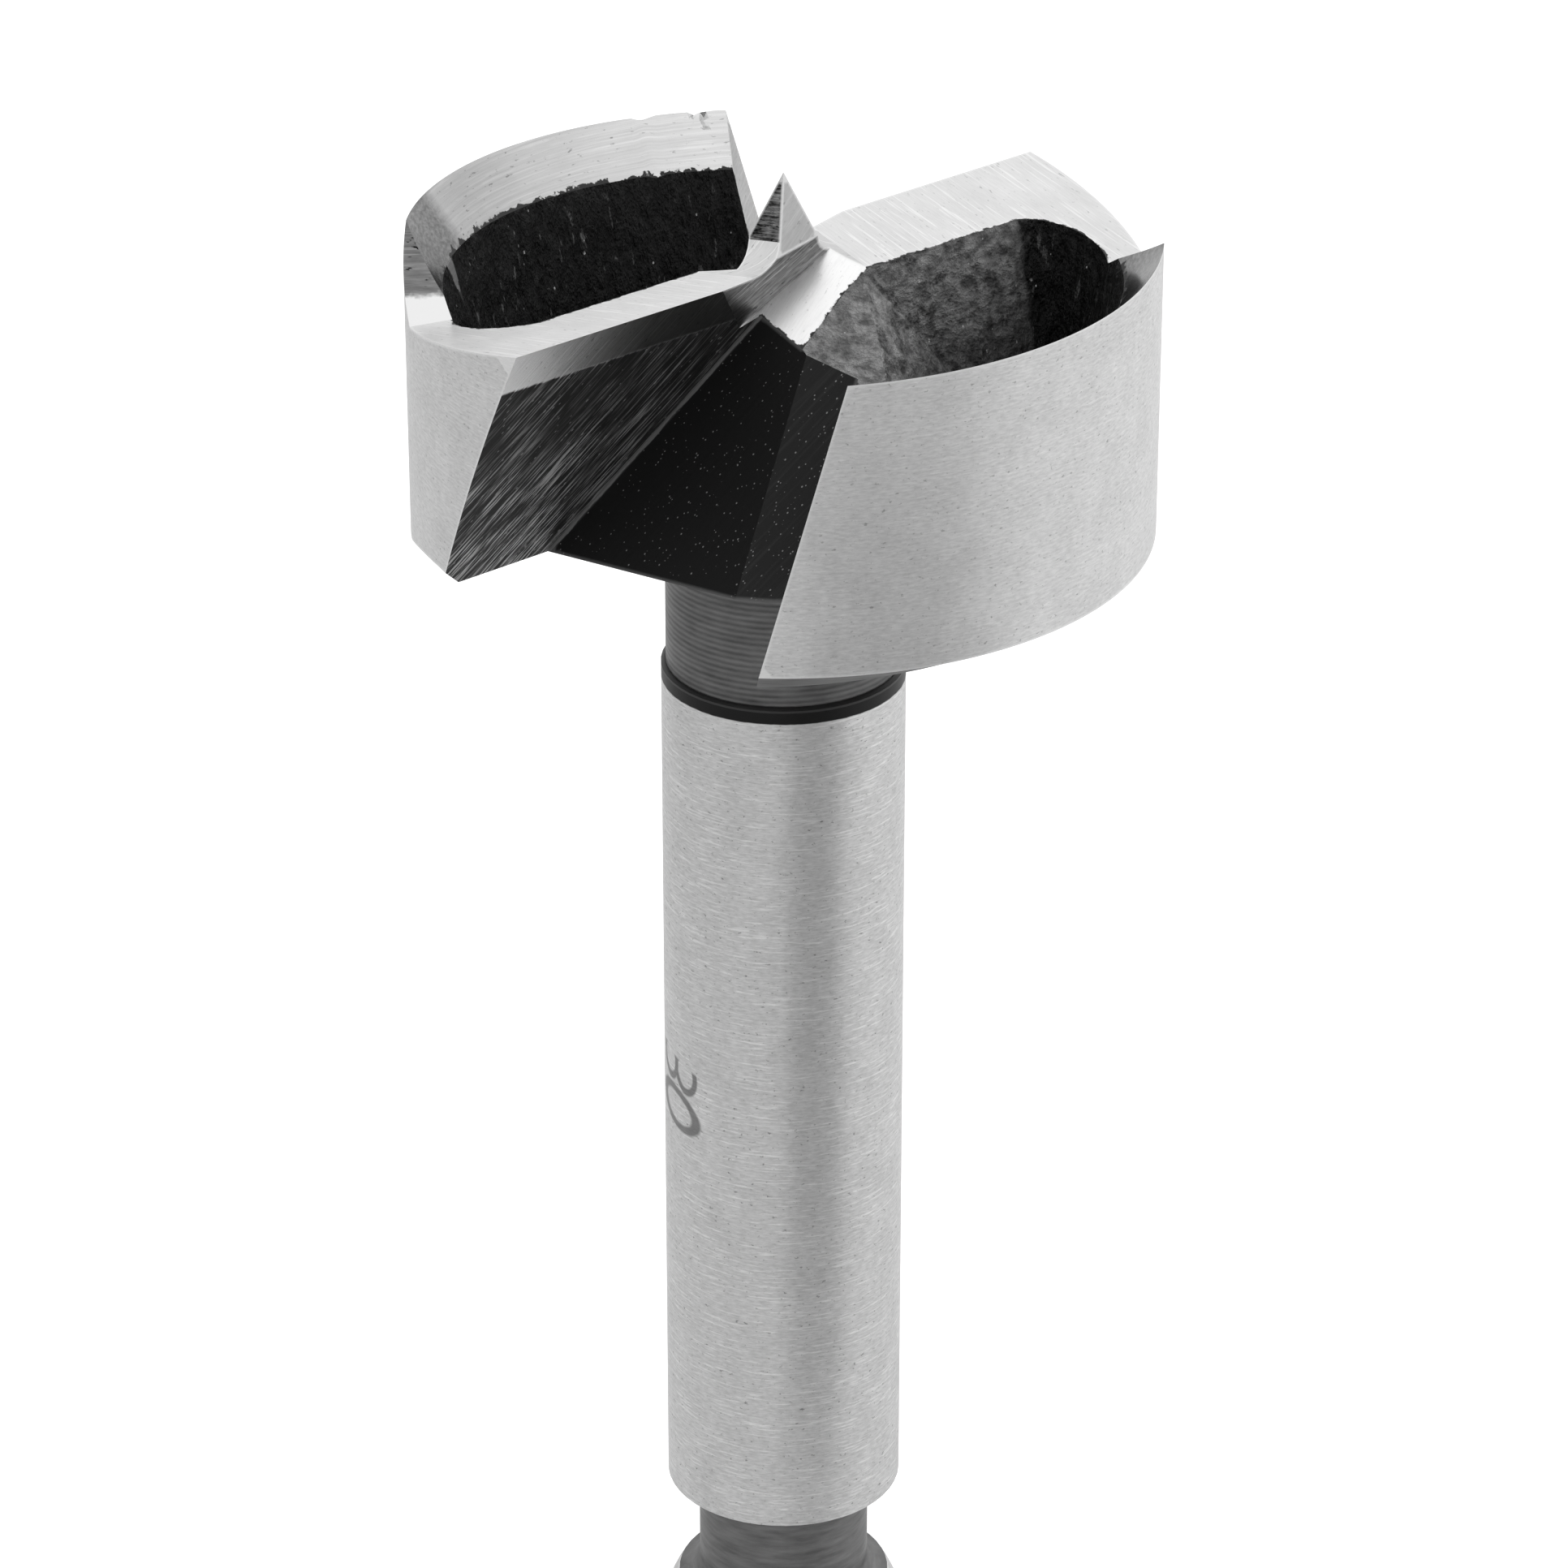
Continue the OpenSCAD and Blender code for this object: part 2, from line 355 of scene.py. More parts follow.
def zoned_faces(node):
    """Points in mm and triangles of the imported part, each with its zone and its half."""
    bm = bmesh.new()
    bm.from_mesh(node.data)
    bmesh.ops.scale(bm, vec=(1000, 1000, 1000), verts=bm.verts)
    bmesh.ops.remove_doubles(bm, verts=bm.verts, dist=SAME_POINT)
    bmesh.ops.triangulate(bm, faces=bm.faces)
    bm.verts.index_update()
    kinds = facets()
    faces = []
    for face in bm.faces:
        face.normal_update()
        centre = face.calc_center_median()
        radii = [v.co.xy.length for v in face.verts]
        top = max(v.co.z for v in face.verts)
        if max(radii) < BODY_R + ON_FACE and top < HEAD_Z + 0.05:
            zone, half = shank_zone(centre), 0
        else:
            zone, half = head_zone(centre, face.normal, radii, kinds)
        faces.append((tuple(v.index for v in face.verts), zone, half))
    points = [v.co.copy() for v in bm.verts]
    bm.free()
    return points, faces


def dressed_mesh(node, settings):
    """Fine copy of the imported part's mesh with zones, flat coordinates and distances."""
    points, faces = zoned_faces(node)
    fine = {"pocket", "hub", "hollow", "point", "flank", "notch", "web", "bevel"}
    turned = {"body", "tail", "groove", "shoulder", "neck"}
    steps = {}
    for zone in ZONES:
        steps[zone] = settings.head_step / MM * (0.7 if zone in fine else 1)
        if zone in turned:
            steps[zone] = 200
        if zone in {"wall", "under"}:
            steps[zone] = settings.wall_step / MM
    refine(points, faces, steps)
    kinds = facets()
    bm = bmesh.new()
    half_of = bm.faces.layers.int.new("half")
    corners = [bm.verts.new(p) for p in points]
    for trio, zone, half in faces:
        face = bm.faces.new([corners[i] for i in trio])
        face.material_index = ZONES.index(zone)
        face[half_of] = half
    bm.normal_update()
    true_round(bm, ZONES)
    wear_marks(bm, ZONES)
    bm.normal_update()
    border = []
    sharp = []
    root = []
    for edge in bm.edges:
        edge.smooth = True
        if len(edge.link_faces) != 2:
            continue
        first, second = (ZONES[f.material_index] for f in edge.link_faces)
        angle = edge.calc_face_angle_signed(0)
        between_zones = first != second and not {first, second} <= ROUGH
        if between_zones or (abs(angle) > SHARP_TURN and first not in ROUGH):
            edge.smooth = False
        ends = (edge.verts[0].co.copy(), edge.verts[1].co.copy())
        if (first in DARK) != (second in DARK):
            border.append(ends)
        if {first, second} == {"hook", "gullet"}:
            root.append(ends)
        if not edge.smooth and angle > OUTER_TURN:
            sharp.append(ends)
    uv = bm.loops.layers.uv.new("UVMap")
    for face in bm.faces:
        face.smooth = True
        flat = unrolled(face, ZONES[face.material_index], face[half_of], kinds)
        for loop, place in zip(face.loops, flat):
            loop[uv].uv = place
    to_border = nearest(tree_of(border, 0.06), bm)
    # Distance to sharp outer edges, which the steel shaders use for a painted edge highlight.
    to_edge = nearest(tree_of(sharp, 0.08), bm)
    to_root = nearest(tree_of(root, 0.06), bm)
    rough = [all(ZONES[f.material_index] in ROUGH for f in v.link_faces) for v in bm.verts]
    # How far each point's normal faces outward, which the pocket shader turns into painted light.
    outward = [v.normal.xy.dot(v.co.xy) / max(v.co.xy.length, 0.01) for v in bm.verts]
    bmesh.ops.scale(bm, vec=(MM, MM, MM), verts=bm.verts)
    mesh = bpy.data.meshes.new(PIECE)
    bm.to_mesh(mesh)
    bm.free()
    kept = {"oxide_gap": to_border, "edge_gap": to_edge, "root_gap": to_root}
    kept.update({"rough": rough, "outward": outward})
    for name, values in kept.items():
        layer = mesh.attributes.new(name, "FLOAT", "POINT")
        layer.data.foreach_set("value", np.array(values, np.float32))
    return mesh


def node_at(tree, kind, **values):
    """New node with its plain values and its unlinked sockets set."""
    node = tree.nodes.new(kind)
    sockets = values.pop("sockets", {})
    for name, value in values.items():
        setattr(node, name, value)
    for name, value in sockets.items():
        node.inputs[name].default_value = value
    return node


def new_group(name, inputs, outputs):
    """Empty shader group with named float, vector or colour sockets."""
    group = bpy.data.node_groups.new(name, "ShaderNodeTree")
    for label, kind, default in inputs:
        socket = group.interface.new_socket(name=label, in_out="INPUT", socket_type=kind)
        if default is not None:
            socket.default_value = default
    for label, kind in outputs:
        group.interface.new_socket(name=label, in_out="OUTPUT", socket_type=kind)
    return group, group.nodes.new("NodeGroupInput"), group.nodes.new("NodeGroupOutput")


def feed(tree, socket, value):
    """Links a socket to another node's output, or sets it to a plain value."""
    if hasattr(value, "links"):
        tree.links.new(value, socket)
    else:
        socket.default_value = value


def math_node(tree, operation, first, second=None, third=None, clamp=False):
    """Math node whose operands are sockets or numbers. Returns its output."""
    node = node_at(tree, "ShaderNodeMath", operation=operation, use_clamp=clamp)
    for index, value in enumerate((first, second, third)):
        if value is not None:
            feed(tree, node.inputs[index], value)
    return node.outputs[0]


def centred(tree, noise):
    """Noise moved so that its middle is 0."""
    return math_node(tree, "SUBTRACT", noise, 0.5)


def blend_values(tree, factor, low, high):
    """Value that runs from low to high as factor runs from 0 to 1."""
    node = node_at(tree, "ShaderNodeMix", data_type="FLOAT")
    for index, value in ((0, factor), (2, low), (3, high)):
        feed(tree, node.inputs[index], value)
    return node.outputs[0]


def multiplied(tree, vector, scale):
    """Vector multiplied axis by axis by a constant or by another vector."""
    times = node_at(tree, "ShaderNodeVectorMath", operation="MULTIPLY")
    tree.links.new(vector, times.inputs[0])
    feed(tree, times.inputs[1], scale)
    return times.outputs[0]


def axes(tree, vector):
    """The X, Y and Z parts of a vector, by name."""
    parts = node_at(tree, "ShaderNodeSeparateXYZ")
    tree.links.new(vector, parts.inputs[0])
    return parts.outputs


def stretched_noise(tree, vector, scale, detail=3.0, rough=0.55):
    """Noise over a vector multiplied by scale, so that it can be drawn out into grain."""
    values = {"Scale": 1.0, "Detail": detail, "Roughness": rough}
    noise = node_at(tree, "ShaderNodeTexNoise", sockets=values)
    tree.links.new(multiplied(tree, vector, scale), noise.inputs["Vector"])
    return noise.outputs[0]


def ramp(tree, value, low, high, start=0.0, end=1.0):
    """Value mapped from the range low..high to start..end and held there."""
    node = node_at(tree, "ShaderNodeMapRange", clamp=True)
    tree.links.new(value, node.inputs["Value"])
    for name, number in (("From Min", low), ("From Max", high), ("To Min", start), ("To Max", end)):
        node.inputs[name].default_value = number
    return node.outputs[0]


def attribute(tree, name):
    """Value of a float attribute of the mesh."""
    return node_at(tree, "ShaderNodeAttribute", attribute_name=name).outputs["Fac"]


def ground_steel_group():
    """Ground steel: fine grain along u, cloudy tone, dark pits and light scratches."""
    inputs = [
        ("Vector", "NodeSocketVector", None),
        ("Tone", "NodeSocketFloat", 0.6),
        ("Grain", "NodeSocketFloat", 0.12),
        ("Pits", "NodeSocketFloat", 0.3),
        ("Scratches", "NodeSocketFloat", 0.3),
    ]
    outputs = [("Tone", "NodeSocketFloat"), ("Height", "NodeSocketFloat")]
    group, given, out = new_group("Ground steel", inputs, outputs)
    vector = given.outputs["Vector"]
    grain = stretched_noise(group, vector, (1.3, 9.0, 9.0), 4.0, 0.66)
    cloud = stretched_noise(group, vector, (0.35, 0.5, 0.4), 3.0)
    spots = stretched_noise(group, vector, (2.2, 5.5, 4.0), 3.0, 0.6)
    pits = ramp(group, spots, 0.63, 0.69)
    slant = {"Rotation": (0, 0, 0.9), "Scale": (0.28, 9.0, 1.0)}
    along = node_at(group, "ShaderNodeMapping", sockets=slant)
    group.links.new(vector, along.inputs["Vector"])
    lines = stretched_noise(group, along.outputs[0], (1.0, 1.0, 1.0), 1.0)
    scratches = ramp(group, lines, 0.6, 0.64)
    spread = given.outputs["Grain"]
    tone = math_node(group, "MULTIPLY_ADD", centred(group, grain), spread, given.outputs["Tone"])
    tone = math_node(group, "MULTIPLY_ADD", centred(group, cloud), 0.16, tone)
    dark = math_node(group, "MULTIPLY", pits, given.outputs["Pits"])
    light = math_node(group, "MULTIPLY", scratches, given.outputs["Scratches"])
    tone = math_node(group, "SUBTRACT", tone, math_node(group, "MULTIPLY", dark, 0.5))
    tone = math_node(group, "MULTIPLY_ADD", light, 0.3, tone, clamp=True)
    group.links.new(tone, out.inputs["Tone"])
    group.links.new(math_node(group, "SUBTRACT", grain, dark), out.inputs["Height"])


def ragged_group():
    """Mask that is 1 within a ragged distance of the border with the oxide."""
    inputs = [
        ("Vector", "NodeSocketVector", None),
        ("Gap", "NodeSocketFloat", 1.0),
        ("Width", "NodeSocketFloat", 0.3),
    ]
    group, given, out = new_group("Ragged border", inputs, [("Mask", "NodeSocketFloat")])
    wave = stretched_noise(group, given.outputs["Vector"], (1.6, 1.6, 1.6), 5.0, 0.65)
    reach = math_node(group, "MULTIPLY", ramp(group, wave, 0.42, 0.72), given.outputs["Width"])
    away = math_node(group, "SUBTRACT", reach, given.outputs["Gap"])
    group.links.new(ramp(group, away, -0.02, 0.02), out.inputs["Mask"])


def speck_group():
    """Sparse small specks, longer along u than along v."""
    inputs = [
        ("Vector", "NodeSocketVector", None),
        ("Size", "NodeSocketVector", (5, 5, 5)),
        ("Share", "NodeSocketFloat", 0.2),
    ]
    group, given, out = new_group("Specks", inputs, [("Mask", "NodeSocketFloat")])
    grid = multiplied(group, given.outputs["Vector"], given.outputs["Size"])
    cells = node_at(group, "ShaderNodeTexVoronoi", sockets={"Scale": 1.0, "Randomness": 1.0})
    group.links.new(grid, cells.inputs["Vector"])
    parts = node_at(group, "ShaderNodeSeparateColor")
    group.links.new(cells.outputs["Color"], parts.inputs[0])
    chosen = math_node(group, "LESS_THAN", parts.outputs[0], given.outputs["Share"])
    size = math_node(group, "MULTIPLY", parts.outputs[1], 0.32)
    near = math_node(group, "SUBTRACT", size, cells.outputs["Distance"])
    mask = math_node(group, "MULTIPLY", ramp(group, near, 0.0, 0.05), chosen)
    group.links.new(mask, out.inputs["Mask"])


def use(tree, name, **sockets):
    """A shader group placed in a tree, with sockets linked or set."""
    node = node_at(tree, "ShaderNodeGroup", node_tree=bpy.data.node_groups[name])
    for label, value in sockets.items():
        feed(tree, node.inputs[label], value)
    return node


def blank_material(name):
    """Material with a Principled shader, flat and object coordinates in mm."""
    material = bpy.data.materials.new(name)
    material.use_nodes = True
    tree = material.node_tree
    shader = tree.nodes["Principled BSDF"]
    coordinates = node_at(tree, "ShaderNodeTexCoord")
    times = node_at(tree, "ShaderNodeVectorMath", operation="SCALE")
    tree.links.new(coordinates.outputs["Object"], times.inputs[0])
    times.inputs["Scale"].default_value = 1 / MM
    return material, tree, shader, coordinates.outputs["UV"], times.outputs[0]


def grey(tree, value):
    """Colour from one grey value."""
    node = node_at(tree, "ShaderNodeCombineColor")
    for index in range(3):
        tree.links.new(value, node.inputs[index])
    return node.outputs[0]


def finish_with(tree, shader, tone, metal, roughness, height, strength, depth=0.01):
    """Links a grey tone, a metal share, a roughness and a height in mm to the shader."""
    tree.links.new(grey(tree, tone), shader.inputs["Base Color"])
    feed(tree, shader.inputs["Metallic"], metal)
    feed(tree, shader.inputs["Roughness"], roughness)
    bump = node_at(tree, "ShaderNodeBump", sockets={"Strength": strength, "Distance": depth * MM})
    tree.links.new(height, bump.inputs["Height"])
    tree.links.new(bump.outputs[0], shader.inputs["Normal"])


def ground(tree, vector, tone, grain, pits, scratches):
    """Outputs of the ground steel group over a vector."""
    node = use(tree, "Ground steel", Vector=vector, Tone=tone, Grain=grain, Pits=pits, Scratches=scratches)
    return node.outputs


def oxide_border(tree, solid, width):
    """Mask of the ragged strip where oxide is left, in mm from its border."""
    gap = attribute(tree, "oxide_gap")
    return use(tree, "Ragged border", Vector=solid, Gap=gap, Width=width).outputs[0]


def steel_material(name, tone, roughness, grain, pits, scratches, ragged=0.0, bump=0.25, short=False):
    """Ground steel, which black oxide eats into along a ragged border, with a painted highlight along its
    sharp outer edges.
    """
    material, tree, shader, flat, solid = blank_material(name)
    if short:
        flat = multiplied(tree, flat, SHORT_GRAIN)
    steel = ground(tree, flat, tone, grain, pits, scratches)
    # Painted highlight: the tone is lifted towards 0.9 within about 0.1 mm of sharp outer edges, where a fine
    # bevel would catch the light.
    painted_edge_highlight = ramp(tree, attribute(tree, "edge_gap"), 0.03, 0.12, 1.0, 0.0)
    value = blend_values(tree, math_node(tree, "MULTIPLY", painted_edge_highlight, 0.6), steel["Tone"], 0.9)
    metal = 1.0
    if ragged:
        border = oxide_border(tree, solid, ragged)
        value = blend_values(tree, border, value, OXIDE_TONE)
        metal = blend_values(tree, border, 1.0, 0.0)
        roughness = blend_values(tree, border, roughness, OXIDE_ROUGHNESS)
    finish_with(tree, shader, value, metal, roughness, steel["Height"], bump)
    return material


def bevel_material():
    """Bevel inside the knife edge: arcs of the wheel, dark where the spur ends."""
    material, tree, shader, flat, solid = blank_material("ground bevel")
    steel = ground(tree, flat, tone=0.66, grain=0.1, pits=0.6, scratches=0.2)
    arcs = stretched_noise(tree, flat, (0.06, 9.0, 1.0), 3.0, 0.6)
    value = math_node(tree, "MULTIPLY_ADD", centred(tree, arcs), 0.35, steel["Tone"])
    along = axes(tree, flat)["X"]
    turn = math_node(tree, "MULTIPLY_ADD", along, 2 / HEAD_R, -2 * math.radians(SPUR_TURN))
    toward = math_node(tree, "COSINE", turn)
    fade = ramp(tree, toward, -0.9, 0.5, 1.05, 0.68)
    value = math_node(tree, "MULTIPLY", value, fade, clamp=True)
    spur_end = ramp(tree, toward, 0.72, 0.82)
    mottle = stretched_noise(tree, flat, (3.0, 5.0, 1.0), 3.0, 0.6)
    value = blend_values(tree, spur_end, value, ramp(tree, mottle, 0.35, 0.65, 0.12, 0.26))
    border = oxide_border(tree, solid, 0.42)
    value = blend_values(tree, border, value, OXIDE_TONE)
    metal = blend_values(tree, border, 1.0, 0.0)
    roughness = blend_values(tree, border, 0.2, OXIDE_ROUGHNESS)
    finish_with(tree, shader, value, metal, roughness, arcs, 0.06)
    return material


def root_ledge(tree, flat):
    """Mask of the narrow grey ledge along the root of the gullet."""
    wobble = stretched_noise(tree, flat, (0.8, 2.0, 1.0), 4.0, 0.6)
    width = ramp(tree, wobble, 0.3, 0.7, 0.06, 0.16)
    away = math_node(tree, "SUBTRACT", width, attribute(tree, "root_gap"))
    return ramp(tree, away, -0.015, 0.015)


def spur_material():
    """Face of the rim spur: bright in the valley, dark and speckled above it."""
    material, tree, shader, flat, solid = blank_material("spur face")
    steel = ground(tree, flat, tone=0.18, grain=0.35, pits=1.0, scratches=0.3)
    wave = stretched_noise(tree, solid, (1.2, 1.2, 1.2), 4.0, 0.6)
    height = math_node(tree, "MULTIPLY_ADD", wave, 0.5, axes(tree, solid)["Z"])
    upper = ramp(tree, height, VALLEY_Z, VALLEY_Z + 0.15)
    value = blend_values(tree, upper, 0.86, steel["Tone"])
    finish_with(tree, shader, value, 1.0, 0.36, steel["Height"], 0.3)
    return material


def hook_material():
    """Hooked face: a ground band under the cutting edge, then oxide with milling lines, whose pale lines are
    painted brighter towards the foot as a painted reflection.
    """
    material, tree, shader, flat, solid = blank_material("hooked face")
    steel = ground(tree, flat, tone=0.5, grain=0.2, pits=0.5, scratches=0.6)
    place = axes(tree, solid)
    lines = stretched_noise(tree, flat, (0.35, 9.0, 1.0), 4.0, 0.65)
    height = math_node(tree, "MULTIPLY_ADD", lines, 0.35, place["Z"])
    band = ramp(tree, height, BAND_Z, BAND_Z + 0.1)
    cut = ramp(tree, lines, 0.5, 0.66)
    # Painted reflection: the pale milling lines are made up to four times brighter towards the foot of the
    # face.
    low = ramp(tree, place["Z"], 77.5, 82.0, 4.0, 0.75)
    speck = use(tree, "Specks", Vector=flat, Size=(3.5, 10.0, 1.0), Share=0.25).outputs[0]
    patch = ramp(tree, stretched_noise(tree, flat, (0.3, 0.5, 1.0), 2.0), 0.42, 0.6, 0.25, 1.0)
    shine = math_node(tree, "MULTIPLY", math_node(tree, "MULTIPLY", cut, low), patch)
    speck = math_node(tree, "MULTIPLY", speck, 0.6)
    shine = math_node(tree, "MAXIMUM", shine, speck, clamp=True)
    oxide = blend_values(tree, shine, 0.01, 0.45)
    ledge = root_ledge(tree, flat)
    level = node_at(tree, "ShaderNodeCombineXYZ")
    tree.links.new(place["X"], level.inputs["X"])
    tree.links.new(place["Y"], level.inputs["Y"])
    radius = node_at(tree, "ShaderNodeVectorMath", operation="LENGTH")
    tree.links.new(level.outputs[0], radius.inputs[0])
    outer = ramp(tree, radius.outputs["Value"], 8.0, 14.0, 0.5, 2.2)
    bright = math_node(tree, "MULTIPLY", steel["Tone"], outer, clamp=True)
    value = blend_values(tree, ledge, blend_values(tree, band, oxide, bright), LEDGE_TONE)
    shine = math_node(tree, "MAXIMUM", shine, ledge)
    metal = math_node(tree, "MAXIMUM", band, math_node(tree, "MULTIPLY", shine, 0.8))
    roughness = blend_values(tree, band, 0.5, 0.36)
    finish_with(tree, shader, value, metal, roughness, lines, 0.5, 0.03)
    shader.inputs["Specular IOR Level"].default_value = 0.2
    return material


def gullet_material(name, speck_share, lines_share, tone):
    """Black oxide on a milled facet, with pale specks and faint cutter lines."""
    material, tree, shader, flat, _ = blank_material(name)
    lines = stretched_noise(tree, flat, (0.15, 6.0, 1.0), 3.0, 0.6)
    speck = use(tree, "Specks", Vector=flat, Size=(6.5, 10.0, 1.0), Share=speck_share).outputs[0]
    cut = math_node(tree, "MULTIPLY", ramp(tree, lines, 0.5, 0.72), lines_share)
    near = ramp(tree, attribute(tree, "oxide_gap"), 0.04, 0.16, 0.5, 0.0)
    shine = math_node(tree, "MAXIMUM", math_node(tree, "MAXIMUM", speck, cut), near, clamp=True)
    ledge = root_ledge(tree, flat)
    value = blend_values(tree, ledge, blend_values(tree, shine, tone, 0.22), LEDGE_TONE)
    metal = math_node(tree, "MULTIPLY", math_node(tree, "MAXIMUM", shine, ledge), 0.8)
    finish_with(tree, shader, value, metal, 0.5, lines, 0.4, 0.02)
    shader.inputs["Specular IOR Level"].default_value = 0.15
    return material


def pocket_material():
    """Glossy black oxide on rough walls with streaks, painted grey with lumps where the walls face outward as
    painted light, and kept black deeper down as painted shade.
    """
    material, tree, shader, _, solid = blank_material("pocket oxide")
    blur = stretched_noise(tree, solid, (1.2, 1.2, 1.2), 4.0, 0.6)
    # Painted light: walls that face outward are painted grey, and the grey fades out deeper down as painted
    # shade.
    outward = attribute(tree, "outward")
    painted_light_facing = math_node(tree, "MULTIPLY_ADD", centred(tree, blur), 0.7, outward)
    painted_depth_shade = ramp(tree, axes(tree, solid)["Z"], 80.0, 83.0, 0.2, 1.0)
    hub = math_node(tree, "MULTIPLY", ramp(tree, painted_light_facing, -0.2, 0.35), painted_depth_shade)
    streaks = stretched_noise(tree, solid, (2.2, 2.2, 0.5), 5.0, 0.65)
    lumps = stretched_noise(tree, solid, (1.7, 1.7, 2.2), 5.0, 0.6)
    fine = stretched_noise(tree, solid, (7.0, 7.0, 5.0), 3.0, 0.6)
    form = blend_values(tree, hub, streaks, lumps)
    speck = use(tree, "Specks", Vector=solid, Size=(5.0, 5.0, 3.0), Share=0.06).outputs[0]
    scraped = ramp(tree, stretched_noise(tree, solid, (2.6, 2.6, 0.5), 4.0, 0.65), 0.62, 0.68)
    inside = ramp(tree, attribute(tree, "oxide_gap"), 0.3, 0.9)
    scraped = math_node(tree, "MULTIPLY", math_node(tree, "MULTIPLY", scraped, inside), 0.25)
    shine = math_node(tree, "MAXIMUM", speck, scraped)
    # Black oxide where the painted light mask is low, painted grey lumps where it is high.
    black = ramp(tree, form, 0.4, 0.65, 0.001, 0.012)
    pale = ramp(tree, form, 0.37, 0.64, 0.06, 0.32)
    value = blend_values(tree, shine, blend_values(tree, hub, black, pale), 0.5)
    height = math_node(tree, "MULTIPLY_ADD", fine, 0.22, form)
    roughness = ramp(tree, form, 0.35, 0.65, 0.42, 0.22)
    metal = math_node(tree, "MULTIPLY", shine, 0.8)
    finish_with(tree, shader, value, metal, roughness, height, 1.0, 0.55)
    tree.links.new(hub, shader.inputs["Coat Weight"])
    shader.inputs["Coat Roughness"].default_value = 0.22
    shader.inputs["Specular IOR Level"].default_value = 0.22
    return material


def mark_stroke(tree, u, v, centre, radii, opened):
    """Mask of one loop of the size mark, open above a share of its height if asked."""
    across = math_node(tree, "DIVIDE", math_node(tree, "SUBTRACT", u, centre[0]), radii[0])
    along = math_node(tree, "DIVIDE", math_node(tree, "SUBTRACT", v, centre[1]), radii[1])
    square = math_node(tree, "MULTIPLY_ADD", along, along, math_node(tree, "MULTIPLY", across, across))
    off = math_node(tree, "SUBTRACT", math_node(tree, "SQRT", square), 1.0)
    off = math_node(tree, "ABSOLUTE", off)
    mask = ramp(tree, off, MARK_STROKE - 0.06, MARK_STROKE + 0.06, 1.0, 0.0)
    if opened:
        mask = math_node(tree, "MULTIPLY", mask, ramp(tree, along, 0.35, 0.5, 1.0, 0.0))
    return mask


def size_mark(tree, flat):
    """Mask of the size number 30 that is printed along the shank."""
    place = axes(tree, flat)
    u = place["X"]
    v = math_node(tree, "MULTIPLY_ADD", math_node(tree, "SUBTRACT", u, MARK_U), MARK_SLANT, place["Y"])
    mask = None
    for shift, height, radii, opened in MARK_LOOPS:
        loop = mark_stroke(tree, u, v, (MARK_U + shift, height), radii, opened)
        mask = loop if mask is None else math_node(tree, "MAXIMUM", mask, loop)
    return mask


def shank_material(tone, ink):
    """Ground body of the shank, with the black band that the wheel left under the neck."""
    material, tree, shader, flat, _ = blank_material("ground shank")
    short = multiplied(tree, flat, SHORT_GRAIN)
    steel = ground(tree, short, tone, grain=0.55, pits=0.6, scratches=0.4)
    wave = stretched_noise(tree, flat, (0.8, 0.3, 1.0), 4.0, 0.6)
    height = math_node(tree, "MULTIPLY_ADD", wave, 0.08, axes(tree, flat)["Y"])
    band = ramp(tree, height, SHOULDER_Z + 0.02, SHOULDER_Z + 0.06)
    mark = math_node(tree, "MULTIPLY", size_mark(tree, flat), 0.75)
    value = blend_values(tree, band, blend_values(tree, mark, steel["Tone"], ink), 0.004)
    metal = blend_values(tree, band, 1.0, 0.0)
    finish_with(tree, shader, value, metal, 0.4, steel["Height"], 0.25)
    shader.inputs["Specular IOR Level"].default_value = 0.2
    return material


def neck_material(tone):
    """Turned neck: dark oxide with fine rings."""
    material, tree, shader, flat, _ = blank_material("turned neck")
    turn = math_node(tree, "MULTIPLY", axes(tree, flat)["Y"], 2 * math.pi / RING_STEP)
    ring = math_node(tree, "SINE", turn)
    cloud = stretched_noise(tree, flat, (0.5, 2.0, 1.0), 4.0, 0.6)
    value = math_node(tree, "MULTIPLY_ADD", ring, 0.03, tone)
    value = math_node(tree, "MULTIPLY_ADD", centred(tree, cloud), 0.2, value, clamp=True)
    finish_with(tree, shader, value, 0.85, 0.42, ring, 0.35)
    return material


def dark_material(name, tone, metal, roughness):
    """Dark band of the shank that the grinding wheel never touched."""
    material, tree, shader, flat, _ = blank_material(name)
    cloud = stretched_noise(tree, flat, (0.4, 3.0, 1.0), 4.0, 0.6)
    value = math_node(tree, "MULTIPLY", ramp(tree, cloud, 0.3, 0.7, 0.7, 1.3), tone)
    finish_with(tree, shader, value, metal, roughness, cloud, 0.3)
    return material


